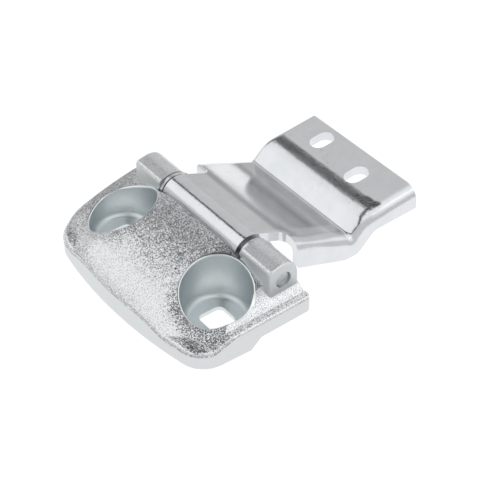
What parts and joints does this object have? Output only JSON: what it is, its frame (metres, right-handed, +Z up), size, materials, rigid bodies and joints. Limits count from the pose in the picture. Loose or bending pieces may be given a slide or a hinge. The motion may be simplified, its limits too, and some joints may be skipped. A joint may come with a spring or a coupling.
{
  "type": "van rear door hinge",
  "caption": "Zinc-plated van rear door hinge: a domed cast leaf with deep bolt pockets and a cranked pressed arm that swings on a pin between the casting's lugs.",
  "frame": {"origin": "midway between the two square bolt holes, in the casting's mounting plane", "axes": "+X along the hinge pin, +Y from the casting towards the pressed arm, +Z up out of the mounting plane"},
  "size_m": [0.119, 0.1455, 0.03],
  "materials": {
    "cast_zinc": "bright zinc plate over a blasted, grainy casting",
    "pressed_zinc": "satin bright zinc plate on pressed steel",
    "pin_steel": "turned steel, zinc plated",
    "washer_steel": "stamped steel, zinc plated"
  },
  "bodies": {
    "frame": {"frame_leaf": "cast_zinc", "hinge_pin": "pin_steel", "thrust_washer_left": "washer_steel", "thrust_washer_right": "washer_steel"},
    "arm": {"door_arm": "pressed_zinc"}
  },
  "joints": [
    {"name": "door_swing", "type": "hinge", "parent": "frame", "child": "arm", "pos_m": [0, 0.025, 0.0215], "axis": [1, 0, 0], "range_deg": [-70, 110]}
  ]
}
